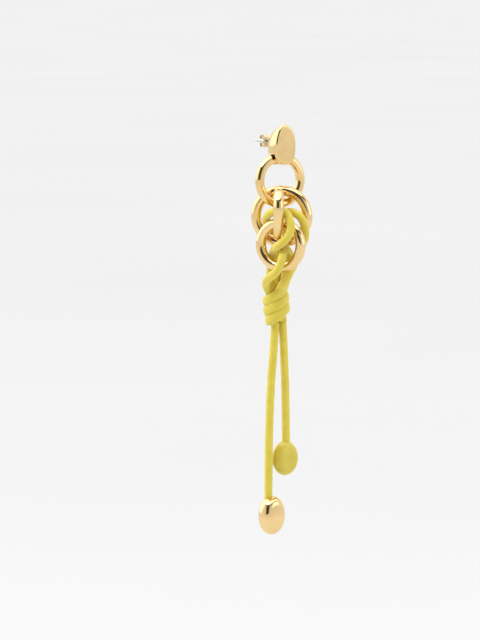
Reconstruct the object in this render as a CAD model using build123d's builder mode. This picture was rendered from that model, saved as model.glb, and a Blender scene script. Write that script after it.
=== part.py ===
from build123d import *
import os
from math import cos, pi, radians, sin, tan

# Long drop earring: a hollow pebble on an ear post carries a ring, and three more rings
# hang below it, bound together by one round cord that ends in a wrapped knot and two tails,
# each with a pebble bead on its end.
#
# Frame, millimetres: the origin is where the ear post leaves the back plate, +Y runs along
# the post away from the face of the pebble, +X is to the right seen from the face, +Z is up.

# ---------------------------------------------------------------- driving dimensions
# pebble
pebble_depth = 5.3
pebble_top = 5.3
pebble_back_top = 3.0
pebble_bottom = -6.6
pebble_bottom_rise = 0.4
pebble_half_width = 3.5
pebble_back_half_width = 2.6
pebble_widest_share = 0.62
pebble_middle_share = 0.45
pebble_wall = 1.0
egg_shoulder = (0.72, 0.16)
egg_waist = 0.36
egg_foot = (0.74, 0.09)
face_fillet = 0.6
back_plate_thickness = 0.8
tongue_thickness = 0.55
tongue_width = 2.4
tongue_overlap = 0.6
# ear post and clutch
post_radius = 0.42
post_length = 9.6
post_root_radius = 0.6
lobe_length = 3.1
notch_width = 0.6
notch_depth = 0.07
post_tip_chamfer = 0.2
clutch_gap = 0.15
clutch_clearance = 0.03
clutch_strip = 0.25
clutch_width = 2.0
clutch_scroll_length = 2.4
clutch_scroll_height = 1.3
clutch_mouth = 0.5
# rings
ring_wire = 2.9
ring_top_wire = 2.6
ring_top_radius = 6.55
ring_large_radius = 7.3
ring_lower_radius = 6.1
ring_top_turn = -5
ring_large_turn = -47
ring_lower_turn = -61
link_slack = 0.95
ring_large_offset = (0.4, -0.28)
ring_set_back = 0.225
bar_size = 0.8
bar_lift = 0.22
bar_fillet_share = 0.3
bar_clearance = 0.08
ring_clearance = 0.3
# oval front link
facing_turn = -125
ring_front_lean = 22
ring_front_straight = 4.4
ring_front_slack = 0.84
ring_front_gap = 0.32
ring_front_side = 0.99
ring_front_below_top = 1.21
ring_lower_set_back = 0.77
ring_lower_side = 0.35
ring_lower_seat = 0.59
# cord, knot and beads
cord_diameter = 2.3
cord_corner_share = 0.45
knot_radius = 3.75
knot_end_radius = 3.1
knot_end_round = 0.9
knot_top = (-2.25, -2.6, -40.2)
knot_bottom = (-0.85, -2.6, -50.6)
bead_socket_clearance = 0.1
bead_face_inset = 0.5
gold_bead_width = 7.9
gold_bead_depth = 5.0
gold_bead_height = 11.3
gold_bead_place = (-3.85, -3.7, -104.85)
yellow_bead_width = 7.8
yellow_bead_depth = 4.4
yellow_bead_height = 9.6
yellow_bead_place = (1.5, -2.7, -89.2)
bead_fillet_share = 0.36

# ---------------------------------------------------------------- derived places
wire_radius = ring_wire / 2
cord_radius = cord_diameter / 2
face_y = -pebble_depth
inner_face_y = face_y + pebble_wall
hang_y = (inner_face_y - tongue_thickness) / 2 + ring_set_back
bar_bottom = pebble_bottom + bar_lift
bar_top = bar_bottom + bar_size
top_wire_radius = ring_top_wire / 2
ring_top_centre = Vector(0, hang_y, bar_top + bar_clearance + top_wire_radius - ring_top_radius)
link_drop = ring_top_radius + ring_large_radius - top_wire_radius - wire_radius - link_slack
ring_large_centre = ring_top_centre + Vector(*ring_large_offset, -link_drop)

facing = Vector(cos(radians(facing_turn)), sin(radians(facing_turn)), 0)
sideways = Vector(-facing.Y, facing.X, 0)
crossing_angle = radians(ring_lower_turn - facing_turn - 90)
ring_front_half_width = wire_radius * (1 + 1 / cos(crossing_angle)) + ring_front_slack
ring_front_reach = ring_front_half_width + ring_wire + ring_front_gap
ring_front_centre = ring_large_centre + facing * ring_front_reach - sideways * ring_front_side
ring_top_underside = ring_top_centre.Z - ring_top_radius - top_wire_radius
ring_front_centre.Z = ring_top_underside - ring_front_below_top
ring_front_drop = ring_front_straight / 2 * cos(radians(ring_front_lean)) + ring_front_half_width
ring_lower_centre = (
    ring_large_centre
    + facing * (ring_front_reach - ring_lower_set_back)
    - sideways * ring_lower_side
)
ring_lower_centre.Z = (
    ring_front_centre.Z - ring_front_drop + ring_wire + ring_lower_seat - ring_lower_radius
)

# Routes of the cord, chosen by hand. The three loops start and end inside the knot.
loop_upper_route = [
    (-0.6, -0.2, -42.2), (0.7, 0.7, -39.6), (2.1, 1.4, -36.2), (2.5, 2.5, -32.2),
    (1.9, 3.2, -28.4), (-0.1, 1.6, -24.6), (-4.3, -1.0, -21.8), (-5.9, -5.0, -19.6),
    (-5.2, -8.1, -18.7), (-4.1, -10.4, -18.9), (-4.1, -12.9, -20.8), (-4.3, -13.6, -23.7),
    (-5.2, -12.8, -26.2), (-6.4, -10.6, -28.1), (-5.1, -6.2, -29.6), (-2.2, -2.0, -31.9),
    (-2.4, -0.8, -36.0), (-2.4, -0.9, -39.3), (-1.9, -1.6, -41.8),
]
loop_side_route = [
    (1.0, -1.8, -42.0), (2.0, -1.3, -39.8), (3.0, -0.9, -36.3), (3.5, 0.1, -32.2),
    (3.8, 0.8, -28.3), (2.5, -0.6, -24.2), (1.1, -2.0, -21.2), (0.8, -3.8, -19.7),
    (0.6, -7.4, -19.3), (1.7, -9.6, -20.4), (2.8, -10.4, -23.2), (3.4, -9.7, -26.7),
    (3.4, -6.9, -29.8), (3.4, -5.5, -32.8), (2.3, -4.2, -36.2), (0.6, -4.1, -39.0),
    (-0.1, -4.1, -41.4),
]
loop_lower_route = [
    (-2.5, -5.0, -41.5), (-1.7, -6.3, -39.3), (-0.3, -7.2, -36.9), (0.6, -6.9, -34.0),
    (0.4, -6.3, -31.1), (-1.6, -7.2, -29.4), (-3.8, -9.3, -30.0), (-5.5, -10.9, -31.7),
    (-6.2, -10.8, -34.0), (-6.6, -9.4, -35.9), (-7.0, -7.0, -37.3), (-6.3, -4.2, -38.7),
    (-4.9, -2.4, -40.1), (-3.9, -2.6, -42.2),
]
tail_long_route = [
    (-1.85, -2.6, -52.2), (-2.4, -2.6, -58.5), (-3.2, -2.65, -65.5), (-3.75, -2.6, -75.5),
    (-4.1, -2.5, -88.5), (-4.2, -2.6, -101.5),
]
tail_short_route = [
    (0.62, -2.6, -52.2), (1.1, -2.6, -58.5), (1.55, -2.55, -66.0), (1.8, -2.6, -76.5),
    (1.85, -2.7, -86.5),
]


# ---------------------------------------------------------------- helpers
def egg(top, bottom, half_width):
    """Closed outline of a pebble, narrow at the top: local X across, local Y up."""
    height = top - bottom
    right_side = [
        (half_width * egg_shoulder[0], top - egg_shoulder[1] * height),
        (half_width, bottom + egg_waist * height),
        (half_width * egg_foot[0], bottom + egg_foot[1] * height),
    ]
    left_side = [(-x, z) for x, z in reversed(right_side)]
    return Spline((0, top), *right_side, (0, bottom), *left_side, periodic=True)


def pebble_section(y, inset):
    """One outline of the pebble at depth y, drawn in by inset; -Y is the face side.

    It is widest at pebble_widest_share of the depth, and its top slopes down to the back.
    """
    depth_share = -y / pebble_depth
    past_widest = (depth_share - pebble_widest_share) / pebble_widest_share
    half_width = pebble_half_width - (pebble_half_width - pebble_back_half_width) * past_widest**2
    top = pebble_back_top + (pebble_top - pebble_back_top) * depth_share
    bottom = pebble_bottom + pebble_bottom_rise * depth_share**2
    with BuildSketch(Plane.XZ.offset(-y)) as section:
        with BuildLine():
            egg(top - inset, bottom + inset, half_width - inset)
        make_face()
    return section


def corner_radii(points):
    """The largest arcs that the runs beside each corner of a route leave room for."""
    vectors = [Vector(*point) for point in points]
    radii = []
    for before, corner, after in zip(vectors, vectors[1:], vectors[2:]):
        run_in, run_out = corner - before, after - corner
        half_turn = radians(run_in.get_angle(run_out)) / 2
        radii.append(cord_corner_share * min(run_in.length, run_out.length) / tan(half_turn))
    return radii


def make_cord(label, route, round_start=False):
    """A round cord along a route, as straight runs joined by tangent arcs.

    A tail starts with a half ball, centred where it swings.
    """
    radii = corner_radii(route)
    with BuildPart() as tube:
        with BuildLine() as path:
            FilletPolyline(*route, radius=radii)
        centre_line = path.wire()
        with BuildSketch(Plane(origin=centre_line @ 0, z_dir=centre_line % 0)):
            Circle(cord_radius)
        sweep(path=centre_line)
        ideal = centre_line.length * pi * cord_radius**2
        volume_ratio = tube.part.volume / ideal
        if round_start:
            with Locations(route[0]):
                Sphere(cord_radius)
    print(label, "length", round(centre_line.length, 1), "volume ratio",
          round(volume_ratio, 4), "radii", [round(r, 1) for r in radii])
    tube.part.label = label
    export_step(tube.part, f"parts/{label}.step")


def ring_plane(centre, turn):
    """Upright plane of a ring: local X lies level, turned about Z, and local Y is up."""
    level = Vector(cos(radians(turn)), sin(radians(turn)), 0)
    return Plane(origin=centre, x_dir=level, z_dir=level.cross(Vector(0, 0, 1)))


def make_ring(label, centre, turn, radius, wire):
    """A round ring of round wire, standing upright."""
    plane = ring_plane(centre, turn)
    with BuildPart() as ring:
        with BuildSketch(Plane(origin=centre, x_dir=plane.x_dir, z_dir=plane.y_dir)):
            with Locations((radius, 0)):
                Circle(wire / 2)
        revolve(axis=Axis(centre, plane.z_dir), revolution_arc=360)
    ring.part.label = label
    export_step(ring.part, f"parts/{label}.step")


def make_bead(label, place, width, depth, height, route_end):
    """A flat pebble bead with a blind socket for the end of its cord."""
    fillet_radius = bead_fillet_share * depth
    with BuildPart() as bead:
        for side, inset in ((-1, bead_face_inset), (0, 0), (1, bead_face_inset)):
            centre = Vector(*place) + Vector(0, side * depth / 2, 0)
            with BuildSketch(Plane(origin=centre, x_dir=(1, 0, 0), z_dir=(0, -1, 0))):
                with BuildLine():
                    egg(height / 2 - inset, -height / 2 + inset, width / 2 - inset)
                make_face()
        loft()
        fillet(bead.faces().filter_by(GeomType.PLANE).edges(), radius=fillet_radius)
        mouth = Vector(route_end[0], route_end[1], place[2] + height / 2)
        with Locations(Location(Plane(origin=mouth, z_dir=(0, 0, 1)))):
            Cylinder(
                cord_radius + bead_socket_clearance,
                2 * (mouth.Z - route_end[2] + bead_socket_clearance),
                mode=Mode.SUBTRACT,
            )
    bead.part.label = label
    export_step(bead.part, f"parts/{label}.step")


os.makedirs("parts", exist_ok=True)

# ---------------------------------------------------------------- pebble
slot_radius = ring_top_radius + top_wire_radius + ring_clearance
slot_place = Location(
    Plane(origin=(0, 0, ring_top_centre.Z), x_dir=(1, 0, 0), z_dir=(0, -1, 0))
)

# the hollow of the pebble, which the back plate closes at the top
with BuildPart() as pebble_cavity:
    cavity_depths = (0, pebble_middle_share * inner_face_y, inner_face_y)
    loft(sections=[pebble_section(y, pebble_wall).sketch for y in cavity_depths])

# domed front and flanks; the lower back is open, so that the ring swings inside
with BuildPart() as pebble_shell:
    shell_depths = (0, pebble_middle_share * face_y, face_y)
    loft(sections=[pebble_section(y, 0).sketch for y in shell_depths])
    fillet(pebble_shell.faces().sort_by(Axis.Y)[0].edges(), radius=face_fillet)
    add(pebble_cavity.part, mode=Mode.SUBTRACT)
    with Locations(slot_place):
        Cylinder(
            slot_radius,
            -inner_face_y,
            align=(Align.CENTER, Align.CENTER, Align.MIN),
            mode=Mode.SUBTRACT,
        )
pebble_shell.part.label = "pebble_shell"
export_step(pebble_shell.part, "parts/pebble_shell.step")

# plate in the back of the pebble, above the ring, with a tongue down behind the ring
with BuildPart() as pebble_back_plate:
    add(pebble_cavity.part)
    split(bisect_by=Plane.XZ.offset(back_plate_thickness), keep=Keep.BOTTOM)
    with Locations(slot_place):
        Cylinder(
            slot_radius,
            -inner_face_y,
            align=(Align.CENTER, Align.CENTER, Align.MIN),
            mode=Mode.SUBTRACT,
        )
    tongue_top = ring_top_centre.Z + slot_radius + tongue_overlap
    with Locations((0, -tongue_thickness / 2, (tongue_top + bar_bottom) / 2)):
        Box(tongue_width, tongue_thickness, tongue_top - bar_bottom)
    with Locations(Location(Plane(origin=(0, 0, 0), z_dir=(0, -1, 0)))):
        Cylinder(post_root_radius, 2 * back_plate_thickness, mode=Mode.SUBTRACT)
pebble_back_plate.part.label = "pebble_back_plate"
export_step(pebble_back_plate.part, "parts/pebble_back_plate.step")

# square bar between face and tongue, through the ring: the ring hangs on it
with BuildPart() as hanger_bar:
    bar_length = -tongue_thickness - inner_face_y
    with Locations((0, inner_face_y + bar_length / 2, (bar_bottom + bar_top) / 2)):
        Box(bar_size, bar_length, bar_size)
    fillet(hanger_bar.edges().filter_by(Axis.Y), radius=bar_size * bar_fillet_share)
hanger_bar.part.label = "hanger_bar"
export_step(hanger_bar.part, "parts/hanger_bar.step")

# ---------------------------------------------------------------- ear post and clutch
# the lobe stretch is plain; the rounded notch behind it stops the clutch
with BuildPart() as ear_post:
    with BuildSketch(Plane.XY):
        with BuildLine():
            Polyline(
                (post_radius, lobe_length),
                (post_radius, 0),
                (post_root_radius, 0),
                (post_root_radius, -back_plate_thickness),
                (0, -back_plate_thickness),
                (0, post_length),
                (post_radius - post_tip_chamfer, post_length),
                (post_radius, post_length - post_tip_chamfer),
                (post_radius, lobe_length + notch_width),
            )
            ThreePointArc(
                (post_radius, lobe_length + notch_width),
                (post_radius - notch_depth, lobe_length + notch_width / 2),
                (post_radius, lobe_length),
            )
        make_face()
    revolve(axis=Axis.Y)
ear_post.part.label = "ear_post"
export_step(ear_post.part, "parts/ear_post.step")

# bent strip: a flat plate with the post's hole, and a scroll on each side that grips the post
clutch_y = lobe_length + notch_width + clutch_gap
clutch_bore = post_radius + clutch_clearance
scroll_offset = clutch_bore + clutch_scroll_height / 2
with BuildPart() as butterfly_clutch:
    with BuildSketch(Plane.YZ):
        for side in (-1, 1):
            with Locations((clutch_y + clutch_scroll_length / 2, side * scroll_offset)):
                SlotOverall(clutch_scroll_length, clutch_scroll_height)
                SlotOverall(
                    clutch_scroll_length - 2 * clutch_strip,
                    clutch_scroll_height - 2 * clutch_strip,
                    mode=Mode.SUBTRACT,
                )
            with Locations((clutch_y + clutch_scroll_length - clutch_mouth, side * clutch_bore)):
                Rectangle(clutch_mouth, clutch_scroll_height, mode=Mode.SUBTRACT)
        with Locations((clutch_y + clutch_strip / 2, 0)):
            Rectangle(clutch_strip, 2 * scroll_offset)
    extrude(amount=clutch_width / 2, both=True)
    with Locations(Location(Plane(origin=(0, clutch_y, 0), z_dir=(0, 1, 0)))):
        Cylinder(clutch_bore, 2 * clutch_scroll_length, mode=Mode.SUBTRACT)
butterfly_clutch.part.label = "butterfly_clutch"
export_step(butterfly_clutch.part, "parts/butterfly_clutch.step")

# ---------------------------------------------------------------- rings
make_ring("ring_top", ring_top_centre, ring_top_turn, ring_top_radius, ring_top_wire)
make_ring("ring_large", ring_large_centre, ring_large_turn, ring_large_radius, ring_wire)
make_ring("ring_lower", ring_lower_centre, ring_lower_turn, ring_lower_radius, ring_wire)

# oval link, leaning forward at the top, through which the lower ring passes
lean = radians(ring_front_lean)
front_up = Vector(0, 0, cos(lean)) + facing * sin(lean)
front_side = front_up.cross(sideways)
with BuildPart() as ring_front:
    with BuildLine(Plane(origin=ring_front_centre, x_dir=front_side, z_dir=sideways)) as oval:
        half_width, half_straight = ring_front_half_width, ring_front_straight / 2
        Line((half_width, -half_straight), (half_width, half_straight))
        ThreePointArc(
            (half_width, half_straight), (0, half_straight + half_width), (-half_width, half_straight)
        )
        Line((-half_width, half_straight), (-half_width, -half_straight))
        ThreePointArc(
            (-half_width, -half_straight), (0, -half_straight - half_width), (half_width, -half_straight)
        )
    oval_wire = oval.wire()
    with BuildSketch(Plane(origin=oval_wire @ 0, z_dir=oval_wire % 0)):
        Circle(wire_radius)
    sweep(path=oval_wire)
ring_front.part.label = "ring_front"
export_step(ring_front.part, "parts/ring_front.step")

# ---------------------------------------------------------------- cord and knot
make_cord("cord_loop_upper", loop_upper_route)
make_cord("cord_loop_side", loop_side_route)
make_cord("cord_loop_lower", loop_lower_route)

# outer shape of the wraps, one closed barrel
with BuildPart() as knot_wraps:
    knot_axis = Vector(*knot_bottom) - Vector(*knot_top)
    knot_length = knot_axis.length
    knot_plane = Plane(origin=knot_top, z_dir=knot_axis)
    with BuildSketch(Plane(origin=knot_top, x_dir=knot_plane.x_dir, z_dir=knot_plane.y_dir * -1)):
        with BuildLine():
            Line((0, 0), (knot_end_radius, 0))
            ThreePointArc(
                (knot_end_radius, 0),
                (knot_radius, knot_length / 2),
                (knot_end_radius, knot_length),
            )
            Line((knot_end_radius, knot_length), (0, knot_length))
            Line((0, knot_length), (0, 0))
        make_face()
    revolve(axis=Axis(knot_top, knot_axis))
    fillet(knot_wraps.faces().filter_by(GeomType.PLANE).edges(), radius=knot_end_round)
knot_wraps.part.label = "knot_wraps"
export_step(knot_wraps.part, "parts/knot_wraps.step")

# ---------------------------------------------------------------- tails and beads
make_cord("cord_tail_long", tail_long_route, round_start=True)
make_cord("cord_tail_short", tail_short_route, round_start=True)
make_bead(
    "gold_bead", gold_bead_place,
    gold_bead_width, gold_bead_depth, gold_bead_height, tail_long_route[-1],
)
make_bead(
    "yellow_bead", yellow_bead_place,
    yellow_bead_width, yellow_bead_depth, yellow_bead_height, tail_short_route[-1],
)
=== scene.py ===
from math import copysign, cos, pi, radians, sin, tau

import bmesh
import bpy
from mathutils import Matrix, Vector


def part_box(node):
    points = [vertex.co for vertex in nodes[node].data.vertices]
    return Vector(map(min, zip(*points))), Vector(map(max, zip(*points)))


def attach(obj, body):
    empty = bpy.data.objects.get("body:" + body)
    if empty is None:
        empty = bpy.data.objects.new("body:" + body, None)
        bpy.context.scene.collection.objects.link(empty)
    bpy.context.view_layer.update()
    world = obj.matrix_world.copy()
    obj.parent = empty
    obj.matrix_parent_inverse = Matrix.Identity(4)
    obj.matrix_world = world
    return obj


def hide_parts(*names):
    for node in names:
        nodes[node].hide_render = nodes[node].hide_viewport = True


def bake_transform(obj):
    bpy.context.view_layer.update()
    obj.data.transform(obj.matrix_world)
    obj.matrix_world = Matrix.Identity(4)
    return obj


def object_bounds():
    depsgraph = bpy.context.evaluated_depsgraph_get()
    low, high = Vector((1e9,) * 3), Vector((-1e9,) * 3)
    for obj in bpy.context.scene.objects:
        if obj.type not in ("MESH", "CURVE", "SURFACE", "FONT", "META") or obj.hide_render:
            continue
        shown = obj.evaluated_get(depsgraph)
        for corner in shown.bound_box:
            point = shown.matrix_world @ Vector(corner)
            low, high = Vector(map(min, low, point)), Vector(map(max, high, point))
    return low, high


# Long drop earring, rest pose hanging from its ear post. Metres, in the frame of the CAD model:
# origin where the post leaves the pebble's back plate, +Y along the post, +Z up.

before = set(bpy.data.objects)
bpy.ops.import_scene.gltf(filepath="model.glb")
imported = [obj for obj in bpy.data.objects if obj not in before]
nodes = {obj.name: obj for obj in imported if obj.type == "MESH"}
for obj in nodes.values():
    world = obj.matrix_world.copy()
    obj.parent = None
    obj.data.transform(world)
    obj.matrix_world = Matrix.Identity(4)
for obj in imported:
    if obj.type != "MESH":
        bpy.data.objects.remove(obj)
cad_low, cad_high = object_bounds()
MM = 0.001

# ---------------------------------------------------------------- sizes of the visual model
CORD_DIAMETER = 2.3 * MM
CORD_RADIUS = CORD_DIAMETER / 2
TUBE_SIDES = 28
SPLINE_STEPS = 14

# Routes of the cord in metres, the same points as the CAD cords
LOOP_UPPER = [
    (-0.0006, -0.0002, -0.0422), (0.0007, 0.0007, -0.0396), (0.0021, 0.0014, -0.0362),
    (0.0025, 0.0025, -0.0322), (0.0019, 0.0032, -0.0284), (-0.0001, 0.0016, -0.0246),
    (-0.0043, -0.001, -0.0218), (-0.0059, -0.005, -0.0196), (-0.0052, -0.0081, -0.0187),
    (-0.0041, -0.0104, -0.0189), (-0.0041, -0.0129, -0.0208), (-0.0043, -0.0136, -0.0237),
    (-0.0052, -0.0128, -0.0262), (-0.0064, -0.0106, -0.0281), (-0.0051, -0.0062, -0.0296),
    (-0.0022, -0.002, -0.0319), (-0.0024, -0.0008, -0.036), (-0.0024, -0.0009, -0.0393),
    (-0.0019, -0.0016, -0.0418),
]
LOOP_SIDE = [
    (0.001, -0.0018, -0.042), (0.002, -0.0013, -0.0398), (0.003, -0.0009, -0.0363),
    (0.0035, 0.0001, -0.0322), (0.0038, 0.0008, -0.0283), (0.0025, -0.0006, -0.0242),
    (0.0011, -0.002, -0.0212), (0.0008, -0.0038, -0.0197), (0.0006, -0.0074, -0.0193),
    (0.0017, -0.0096, -0.0204), (0.0028, -0.0104, -0.0232), (0.0034, -0.0097, -0.0267),
    (0.0034, -0.0069, -0.0298), (0.0034, -0.0055, -0.0328), (0.0023, -0.0042, -0.0362),
    (0.0006, -0.0041, -0.039), (-0.0001, -0.0041, -0.0414),
]
LOOP_LOWER = [
    (-0.0025, -0.005, -0.0415), (-0.0017, -0.0063, -0.0393), (-0.0003, -0.0072, -0.0369),
    (0.0006, -0.0069, -0.034), (0.0004, -0.0063, -0.0311), (-0.0016, -0.0072, -0.0294),
    (-0.0038, -0.0093, -0.03), (-0.0055, -0.0109, -0.0317), (-0.0062, -0.0108, -0.034),
    (-0.0066, -0.0094, -0.0359), (-0.007, -0.007, -0.0373), (-0.0063, -0.0042, -0.0387),
    (-0.0049, -0.0024, -0.0401), (-0.0039, -0.0026, -0.0422),
]
TAIL_LONG = [
    (-0.00185, -0.0026, -0.0502), (-0.0024, -0.0026, -0.0585), (-0.0032, -0.00265, -0.0655),
    (-0.00375, -0.0026, -0.0755), (-0.0041, -0.0025, -0.0885), (-0.0042, -0.0026, -0.1015),
]
TAIL_SHORT = [
    (0.00062, -0.0026, -0.0502), (0.0011, -0.0026, -0.0585), (0.00155, -0.00255, -0.066),
    (0.0018, -0.0026, -0.0765), (0.00185, -0.0027, -0.0865),
]
KNOT_TOP = Vector((-2.25, -2.6, -40.2)) * MM
KNOT_BOTTOM = Vector((-0.85, -2.6, -50.6)) * MM

# ---------------------------------------------------------------- camera
AZIMUTH, ELEVATION = radians(-35), radians(6)
TOWARD = Vector((sin(AZIMUTH) * cos(ELEVATION), -cos(AZIMUTH) * cos(ELEVATION), sin(ELEVATION)))
RIGHT = Vector((cos(AZIMUTH), sin(AZIMUTH), 0))
UP = TOWARD.cross(RIGHT)
FIELD_HEIGHT = 0.1792
AIM_RIGHT, AIM_UP = -9.94 * MM, -49.98 * MM
LENS, SENSOR = 200, 36


def make_camera():
    """A long lens at the product photograph's angle, level with the middle of the earring."""
    data = bpy.data.cameras.new("camera")
    data.lens, data.sensor_width = LENS, SENSOR
    data.clip_start, data.clip_end = 0.01, 100
    camera = bpy.data.objects.new("camera", data)
    bpy.context.scene.collection.objects.link(camera)
    distance = FIELD_HEIGHT / 2 / (SENSOR / 2 / LENS)
    camera.location = RIGHT * AIM_RIGHT + UP * AIM_UP + TOWARD * distance
    camera.rotation_mode = "QUATERNION"
    camera.rotation_quaternion = TOWARD.to_track_quat("Z", "Y")
    bpy.context.scene.camera = camera


make_camera()


# ---------------------------------------------------------------- materials
def node_material(name):
    material = bpy.data.materials.new(name)
    material.use_nodes = True
    return material, material.node_tree, material.node_tree.nodes["Principled BSDF"]


def noise(tree, scale, detail=4.0, roughness=0.55, stretch=(1, 1, 1), coordinate="Object"):
    """Noise of a given scale, per metre in object space."""
    where = tree.nodes.new("ShaderNodeTexCoord")
    mapping = tree.nodes.new("ShaderNodeMapping")
    mapping.inputs["Scale"].default_value = stretch
    texture = tree.nodes.new("ShaderNodeTexNoise")
    texture.inputs["Scale"].default_value = scale
    texture.inputs["Detail"].default_value = detail
    texture.inputs["Roughness"].default_value = roughness
    tree.links.new(where.outputs[coordinate], mapping.inputs["Vector"])
    tree.links.new(mapping.outputs["Vector"], texture.inputs["Vector"])
    return texture.outputs["Fac"]


def ramp(tree, value, stops):
    """Colour ramp over a value; stops are (position, colour)."""
    node = tree.nodes.new("ShaderNodeValToRGB")
    elements = node.color_ramp.elements
    while len(elements) < len(stops):
        elements.new(0.5)
    for element, (position, colour) in zip(elements, stops):
        element.position = position
        element.color = (*colour, 1)
    tree.links.new(value, node.inputs["Fac"])
    return node.outputs["Color"]


def spread(tree, value, low, high):
    """Value from 0.3 to 0.7, as noise gives, spread from low to high."""
    node = tree.nodes.new("ShaderNodeMapRange")
    node.inputs["From Min"].default_value = 0.3
    node.inputs["From Max"].default_value = 0.7
    node.inputs["To Min"].default_value = low
    node.inputs["To Max"].default_value = high
    tree.links.new(value, node.inputs["Value"])
    return node.outputs["Result"]


def bump(tree, shader, height, distance, strength, below=None):
    node = tree.nodes.new("ShaderNodeBump")
    node.inputs["Strength"].default_value = strength
    node.inputs["Distance"].default_value = distance
    tree.links.new(height, node.inputs["Height"])
    if below is not None:
        tree.links.new(below, node.inputs["Normal"])
    tree.links.new(node.outputs["Normal"], shader.inputs["Normal"])
    return node.outputs["Normal"]


def metal(name, dark, light, rough_low, rough_high, stretch=(1, 1, 1), wear=0.04):
    """Polished or drawn metal: faint tone changes, uneven polish and fine rub marks."""
    material, tree, shader = node_material(name)
    shader.inputs["Metallic"].default_value = 1.0
    tone = noise(tree, 160, detail=2)
    tree.links.new(ramp(tree, tone, [(0.35, dark), (0.65, light)]), shader.inputs["Base Color"])
    polish = noise(tree, 900, detail=6, stretch=stretch)
    tree.links.new(spread(tree, polish, rough_low, rough_high), shader.inputs["Roughness"])
    waves = bump(tree, shader, noise(tree, 300, detail=1), 0.02 * MM, wear)
    bump(tree, shader, noise(tree, 4000, detail=3, stretch=stretch), 0.004 * MM, wear, waves)
    return material


def leather(name, dark, light):
    """Fine round leather cord: grain, shallow creases along the cord and a soft sheen."""
    material, tree, shader = node_material(name)
    tone = noise(tree, 420, detail=5)
    tree.links.new(ramp(tree, tone, [(0.3, dark), (0.7, light)]), shader.inputs["Base Color"])
    rough = spread(tree, noise(tree, 2600, detail=3), 0.42, 0.62)
    tree.links.new(rough, shader.inputs["Roughness"])
    shader.inputs["Sheen Weight"].default_value = 0.3
    shader.inputs["Sheen Roughness"].default_value = 0.4
    shader.inputs["Specular IOR Level"].default_value = 0.4
    creases = bump(tree, shader, noise(tree, 5, detail=5, stretch=(26, 1, 1), coordinate="UV"),
                   0.05 * MM, 0.35)
    cell_where = tree.nodes.new("ShaderNodeTexCoord")
    cells = tree.nodes.new("ShaderNodeTexVoronoi")
    cells.inputs["Scale"].default_value = 5200
    tree.links.new(cell_where.outputs["Object"], cells.inputs["Vector"])
    bump(tree, shader, cells.outputs["Distance"], 0.03 * MM, 0.35, creases)
    return material


def lacquer(name, dark, light):
    """Satin lacquer with a slight orange peel."""
    material, tree, shader = node_material(name)
    tone = noise(tree, 240, detail=3)
    tree.links.new(ramp(tree, tone, [(0.3, dark), (0.7, light)]), shader.inputs["Base Color"])
    rough = spread(tree, noise(tree, 1800, detail=4), 0.26, 0.38)
    tree.links.new(rough, shader.inputs["Roughness"])
    shader.inputs["Coat Weight"].default_value = 0.25
    shader.inputs["Coat Roughness"].default_value = 0.2
    bump(tree, shader, noise(tree, 1500, detail=2), 0.02 * MM, 0.12)
    return material


GOLD = metal("gold_plate", (0.84, 0.60, 0.27), (0.90, 0.67, 0.34), 0.05, 0.11)
STEEL = metal("post_steel", (0.52, 0.53, 0.50), (0.68, 0.69, 0.65), 0.2, 0.34,
              stretch=(1, 0.08, 1), wear=0.12)
CLUTCH = metal("clutch_brass", (0.66, 0.54, 0.34), (0.80, 0.68, 0.46), 0.16, 0.28, wear=0.1)
LEATHER = leather("cord_leather", (0.74, 0.59, 0.06), (0.80, 0.665, 0.09))
LACQUER = lacquer("yellow_lacquer", (0.66, 0.52, 0.05), (0.76, 0.62, 0.08))


def dress(piece, material):
    piece.data.materials.clear()
    piece.data.materials.append(material)


def smooth(piece):
    for face in piece.data.polygons:
        face.use_smooth = True


# ---------------------------------------------------------------- cords
def spline_points(name, route):
    """Points along a smooth NURBS curve that has the route as its control points."""
    curve = bpy.data.curves.new(name + "_route", "CURVE")
    curve.dimensions = "3D"
    spline = curve.splines.new("NURBS")
    spline.points.add(len(route) - 1)
    for point, place in zip(spline.points, route):
        point.co = (*place, 1)
    spline.order_u = 3
    spline.use_endpoint_u = True
    curve.resolution_u = SPLINE_STEPS
    holder = bpy.data.objects.new(name + "_route", curve)
    bpy.context.scene.collection.objects.link(holder)
    bpy.context.view_layer.update()
    line = bpy.data.meshes.new_from_object(holder)
    points = [vertex.co.copy() for vertex in line.vertices]
    bpy.data.objects.remove(holder)
    bpy.data.meshes.remove(line)
    bpy.data.curves.remove(curve)
    return points


def rounded(value, squareness):
    """Cosine or sine bent towards a rounded square as squareness grows from 2."""
    return copysign(abs(value) ** (2 / squareness), value)


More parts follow.
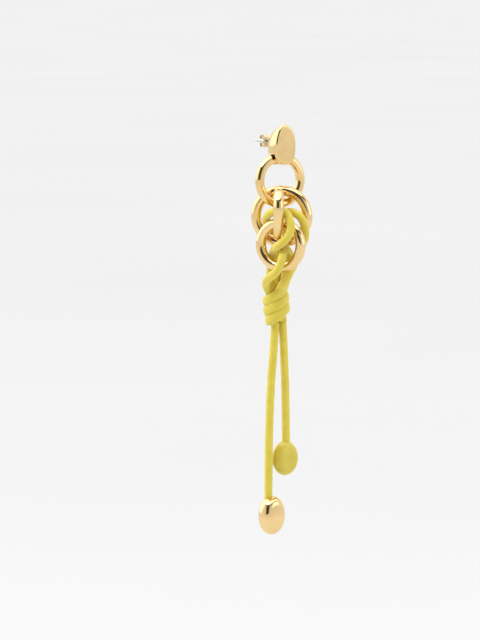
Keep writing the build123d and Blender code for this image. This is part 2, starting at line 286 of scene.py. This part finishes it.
def tube(name, points, section, squareness=2, uv_pitch=CORD_DIAMETER):
    """A closed tube along points. section(share) gives (half width, half thickness, outward)."""
    mesh = bpy.data.meshes.new(name)
    shape = bmesh.new()
    uv = shape.loops.layers.uv.new("UVMap")
    tangents = [(b - a).normalized() for a, b in zip(points, points[1:])]
    tangents.append(tangents[-1])
    side = tangents[0].orthogonal().normalized()
    rings, lengths, travelled = [], [], 0.0
    for index, (point, tangent) in enumerate(zip(points, tangents)):
        if index:
            travelled += (point - points[index - 1]).length
        mean = (tangents[max(index - 1, 0)] + tangent).normalized()
        width, thickness, outward = section(index / (len(points) - 1))
        side = outward if outward is not None else side
        side = (side - mean * side.dot(mean)).normalized()
        across = mean.cross(side)
        rings.append([
            shape.verts.new(point
                            + side * thickness * rounded(cos(tau * k / TUBE_SIDES), squareness)
                            + across * width * rounded(sin(tau * k / TUBE_SIDES), squareness))
            for k in range(TUBE_SIDES)
        ])
        lengths.append(travelled)
    for low, high, start, end in zip(rings, rings[1:], lengths, lengths[1:]):
        for k in range(TUBE_SIDES):
            after = (k + 1) % TUBE_SIDES
            face = shape.faces.new((low[k], low[after], high[after], high[k]))
            share, next_share = k / TUBE_SIDES, (k + 1) / TUBE_SIDES
            corners = ((share, start), (next_share, start), (next_share, end), (share, end))
            for loop, (u, v) in zip(face.loops, corners):
                loop[uv].uv = (u, v / uv_pitch)
    shape.faces.new(list(reversed(rings[0])))
    shape.faces.new(rings[-1])
    bmesh.ops.recalc_face_normals(shape, faces=shape.faces)
    shape.to_mesh(mesh)
    shape.free()
    piece = bpy.data.objects.new(name, mesh)
    bpy.context.scene.collection.objects.link(piece)
    smooth(piece)
    dress(piece, LEATHER)
    return piece


def round_section(share):
    return CORD_RADIUS, CORD_RADIUS, None


def held_cord(name, route, node):
    """A stretch of cord that the rings and the knot hold all the way."""
    piece = tube(name, spline_points(name, route), round_section)
    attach(piece, "bundle")
    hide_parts(node)


held_cord("loop_upper", LOOP_UPPER, "cord_loop_upper")
held_cord("loop_side", LOOP_SIDE, "cord_loop_side")
held_cord("loop_lower", LOOP_LOWER, "cord_loop_lower")

# ---------------------------------------------------------------- knot
WRAP_TURNS = 3.0
WRAP_START = -1.75
WRAP_PITCH = 2.8 * MM
WRAP_RADIUS = 2.72 * MM
WRAP_BULGE = 0.1
WRAP_TILT = 1.0 * MM
WRAP_HALF_WIDTH = 1.43 * MM
WRAP_HALF_THICKNESS = 1.0 * MM
WRAP_SQUARENESS = 2.6
WRAP_END_SHARE = 0.06
WRAP_TUCK = 0.5
WRAP_STEPS = 48
STRAND_TOP, STRAND_BOTTOM = -41.9, -50.2


def knot_wraps():
    """The cord wound round the bundle: slanted, flattened turns with tucked ends."""
    axis = (KNOT_BOTTOM - KNOT_TOP).normalized()
    right = (RIGHT - axis * RIGHT.dot(axis)).normalized()
    front = axis.cross(right)
    if front.dot(TOWARD) < 0:
        front = -front
    middle = (KNOT_TOP + KNOT_BOTTOM) / 2
    count = int(WRAP_TURNS * WRAP_STEPS)
    points, outward = [], []
    for step in range(count + 1):
        share = step / count
        turn = WRAP_START + share * WRAP_TURNS
        end = min(1, min(share, 1 - share) / WRAP_END_SHARE)
        tuck = 1 - WRAP_TUCK * (1 - sin(end * pi / 2))
        radius = WRAP_RADIUS * (1 - WRAP_BULGE / 2 + WRAP_BULGE * sin(pi * share)) * tuck
        direction = -right * cos(tau * turn) - front * sin(tau * turn)
        along = (share - 0.5) * WRAP_TURNS * WRAP_PITCH + WRAP_TILT * cos(tau * turn)
        points.append(middle + direction * radius + axis * along)
        outward.append(direction)

    def section(share):
        return WRAP_HALF_WIDTH, WRAP_HALF_THICKNESS, outward[round(share * count)]

    piece = tube("knot_turns", points, section, WRAP_SQUARENESS)
    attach(piece, "bundle")
    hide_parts("knot_wraps")


def knot_core():
    """Strands that run down through the turns; starts and ends are x and y in millimetres."""
    starts = [(-0.6, -0.2), (-1.9, -1.6), (1.0, -1.8), (-0.1, -4.1), (-2.5, -5.0), (-3.9, -2.6)]
    ends = [(-1.0, -1.0), (-1.85, -2.6), (0.62, -2.6), (-0.2, -4.0), (-1.6, -3.8), (-2.2, -2.0)]
    for index, (start, end) in enumerate(zip(starts, ends)):
        high, low = Vector((*start, STRAND_TOP)) * MM, Vector((*end, STRAND_BOTTOM)) * MM
        waist = high.lerp(low, 0.5).lerp((KNOT_TOP + KNOT_BOTTOM) / 2, 0.5)
        route = [high, high.lerp(waist, 0.5), waist, low]
        strand = tube(f"knot_strand_{index + 1}", spline_points("strand", route), round_section)
        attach(strand, "bundle")


knot_wraps()
knot_core()

# ---------------------------------------------------------------- pebble and beads
def facet(normal, distance):
    """A flat that cuts the pebble at a distance in millimetres from its middle."""
    return Vector(normal).normalized(), distance * MM


def carved(directions, semi_axes, narrowing, facets, sharpness):
    """Points of a pebble: an egg-like solid, semi-axes in millimetres, ground flat by facets."""
    points = []
    for d in directions:
        half_x = semi_axes[0] * (1 - narrowing * d.z)
        base = ((d.x / half_x) ** 2 + (d.y / semi_axes[1]) ** 2 + (d.z / semi_axes[2]) ** 2) ** 0.5
        total = (base / MM) ** sharpness
        for normal, distance in facets:
            total += (max(0.0, d.dot(normal)) / distance) ** sharpness
        points.append(d * total ** (-1 / sharpness))
    return points


def bead(name, node, body, material, semi_axes, narrowing, facets, sharpness):
    """A closed pebble bead that fills the box of its CAD node."""
    low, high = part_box(node)
    centre = (low + high) / 2
    shape = bmesh.new()
    bmesh.ops.create_icosphere(shape, subdivisions=6, radius=1)
    directions = [vertex.co.normalized() for vertex in shape.verts]
    places = carved(directions, semi_axes, narrowing, facets, sharpness)
    for vertex, place in zip(shape.verts, places):
        vertex.co = place + centre
    mesh = bpy.data.meshes.new(name)
    shape.to_mesh(mesh)
    shape.free()
    piece = bpy.data.objects.new(name, mesh)
    bpy.context.scene.collection.objects.link(piece)
    smooth(piece)
    dress(piece, material)
    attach(piece, body)
    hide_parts(node)
    return piece


gold_bead = bead(
    "bead_gold", "gold_bead", "long_tail", GOLD,
    semi_axes=(3.98, 3.2, 5.62), narrowing=0.03, sharpness=9,
    facets=[facet((0.05, -1, 0.02), 2.42), facet((0, 1, 0), 2.46), facet((-0.93, -0.36, 0.08), 3.95),
            facet((-0.30, -0.30, 0.90), 4.9)],
)
yellow_bead = bead(
    "bead_yellow", "yellow_bead", "short_tail", LACQUER,
    semi_axes=(4.0, 2.9, 4.95), narrowing=0.02, sharpness=10,
    facets=[facet((0, -1, 0), 1.95), facet((0, 1, 0), 2.0), facet((-0.78, -0.62, 0.1), 3.1)],
)


def free_tail(name, route, node):
    """A tail that hangs free from the knot, a tube along its route."""
    points = spline_points(name, route)
    piece = tube(name, points, round_section)
    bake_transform(piece)
    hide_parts(node)


free_tail("tail_long", TAIL_LONG, "cord_tail_long")
free_tail("tail_short", TAIL_SHORT, "cord_tail_short")

# ---------------------------------------------------------------- CAD pieces that stay
for node in ("pebble_shell", "pebble_back_plate", "hanger_bar", "ring_top", "ring_large",
             "ring_front", "ring_lower"):
    dress(nodes[node], GOLD)
dress(nodes["ear_post"], STEEL)
dress(nodes["butterfly_clutch"], CLUTCH)


# ---------------------------------------------------------------- stage and light
FLOOR_BELOW = 0.13
FLOOR_SIZE = 120


def make_floor():
    mesh = bpy.data.meshes.new("floor")
    half = FLOOR_SIZE / 2
    corners = [(-half, -half, 0), (half, -half, 0), (half, half, 0), (-half, half, 0)]
    mesh.from_pydata(corners, [], [(0, 1, 2, 3)])
    floor = bpy.data.objects.new("floor", mesh)
    bpy.context.scene.collection.objects.link(floor)
    floor.location.z = cad_low.z - FLOOR_BELOW
    material, tree, shader = node_material("floor_paper")
    tone = noise(tree, 2, detail=2)
    tree.links.new(ramp(tree, tone, [(0.3, (0.655, 0.655, 0.655)), (0.7, (0.67, 0.67, 0.67))]),
                   shader.inputs["Base Color"])
    shader.inputs["Roughness"].default_value = 0.9
    shader.inputs["Specular IOR Level"].default_value = 0.0
    dress(floor, material)


STRIP_ANGLE = radians(15)
TENT_STRENGTH = 1.02
STRIP_LEVEL, UPPER_STRIP_LEVEL = 0.06, 0.16
SOFT_BOX_LEVEL, OVERHEAD_LEVEL = 1.8, 1.9
BACKDROP_LEVEL = 0.92


def cosine_to(tree, way):
    """Cosine between a direction of the sky and the given way."""
    where = tree.nodes.new("ShaderNodeTexCoord")
    dot = tree.nodes.new("ShaderNodeVectorMath")
    dot.operation = "DOT_PRODUCT"
    dot.inputs[1].default_value = way
    tree.links.new(where.outputs["Generated"], dot.inputs[0])
    return dot.outputs["Value"]


def level(tree, way, stops):
    """Grey level over the cosine to a way; stops are (cosine, level)."""
    share = tree.nodes.new("ShaderNodeMapRange")
    share.inputs["From Min"].default_value = -1
    share.inputs["From Max"].default_value = 1
    tree.links.new(cosine_to(tree, way), share.inputs["Value"])
    greys = [((cosine + 1) / 2, (grey,) * 3) for cosine, grey in stops]
    return ramp(tree, share.outputs["Result"], greys)


def mixed(tree, factor, low, high):
    """Mix of low and high, each an output or a grey level."""
    mix = tree.nodes.new("ShaderNodeMix")
    mix.data_type = "RGBA"
    tree.links.new(factor, mix.inputs["Factor"])
    for socket, value in (("A", low), ("B", high)):
        if isinstance(value, float):
            mix.inputs[socket].default_value = (value, value, value, 1)
        else:
            tree.links.new(value, mix.inputs[socket])
    return mix.outputs["Result"]


def studio_light(tree):
    """A white light tent, dimmer in front, with a dark strip left of the camera and one above it,
    a soft box high on the left and a bright ceiling."""
    front = Vector((TOWARD.x, TOWARD.y, 0)).normalized()
    overhead = Vector((0, 0, 1))
    strip_side = RIGHT * cos(STRIP_ANGLE) + front * sin(STRIP_ANGLE)
    strip_front = front * cos(STRIP_ANGLE) - RIGHT * sin(STRIP_ANGLE)
    box_way = (-RIGHT * 0.8 - front * 0.3 + overhead * 0.5).normalized()
    tent = level(tree, front, [(-1, 0.95), (0.0, 1.0), (0.5, 0.85), (1, 0.66)])
    strip = level(tree, strip_side,
                  [(-1, 0), (-0.55, 0), (-0.36, 1), (0.36, 1), (0.55, 0)])
    in_front = level(tree, strip_front, [(0.1, 0), (0.25, 1)])
    upper = level(tree, overhead, [(0.55, 0), (0.60, 1), (0.72, 1), (0.77, 0)])
    before = level(tree, front, [(0.0, 0), (0.2, 1)])
    ceiling = level(tree, overhead, [(0.74, 0), (0.80, 1)])
    soft_box = level(tree, box_way, [(0.78, 0), (0.86, 1)])
    light = mixed(tree, mixed(tree, strip, 0.0, in_front), tent, STRIP_LEVEL)
    light = mixed(tree, mixed(tree, upper, 0.0, before), light, UPPER_STRIP_LEVEL)
    light = mixed(tree, soft_box, light, SOFT_BOX_LEVEL)
    return mixed(tree, ceiling, light, OVERHEAD_LEVEL)


def make_world():
    """Studio light all round; the camera itself sees a plain pale backdrop."""
    world = bpy.data.worlds.new("studio")
    world.use_nodes = True
    tree = world.node_tree
    tree.nodes.clear()
    lit = tree.nodes.new("ShaderNodeBackground")
    lit.inputs["Strength"].default_value = TENT_STRENGTH
    tree.links.new(studio_light(tree), lit.inputs["Color"])
    backdrop = tree.nodes.new("ShaderNodeBackground")
    backdrop.inputs["Color"].default_value = (BACKDROP_LEVEL,) * 3 + (1,)
    path = tree.nodes.new("ShaderNodeLightPath")
    choose = tree.nodes.new("ShaderNodeMixShader")
    tree.links.new(path.outputs["Is Camera Ray"], choose.inputs["Fac"])
    tree.links.new(lit.outputs["Background"], choose.inputs[1])
    tree.links.new(backdrop.outputs["Background"], choose.inputs[2])
    output = tree.nodes.new("ShaderNodeOutputWorld")
    tree.links.new(choose.outputs["Shader"], output.inputs["Surface"])
    bpy.context.scene.world = world


def area_light(name, place, size, energy):
    data = bpy.data.lights.new(name, "AREA")
    data.size = size
    data.energy = energy
    lamp = bpy.data.objects.new(name, data)
    bpy.context.scene.collection.objects.link(lamp)
    middle = Vector((0, 0, cad_low.z / 2))
    lamp.location = middle + place
    lamp.rotation_mode = "QUATERNION"
    lamp.rotation_quaternion = place.normalized().to_track_quat("Z", "Y")


make_floor()
make_world()
area_light("key", (-RIGHT * 0.5 + UP * 0.9 + TOWARD * 0.5), 0.4, 3.0)
area_light("fill", (RIGHT * 0.9 + UP * 0.25 + TOWARD * 0.35), 0.5, 0.8)
bpy.context.scene.view_settings.view_transform = "Standard"
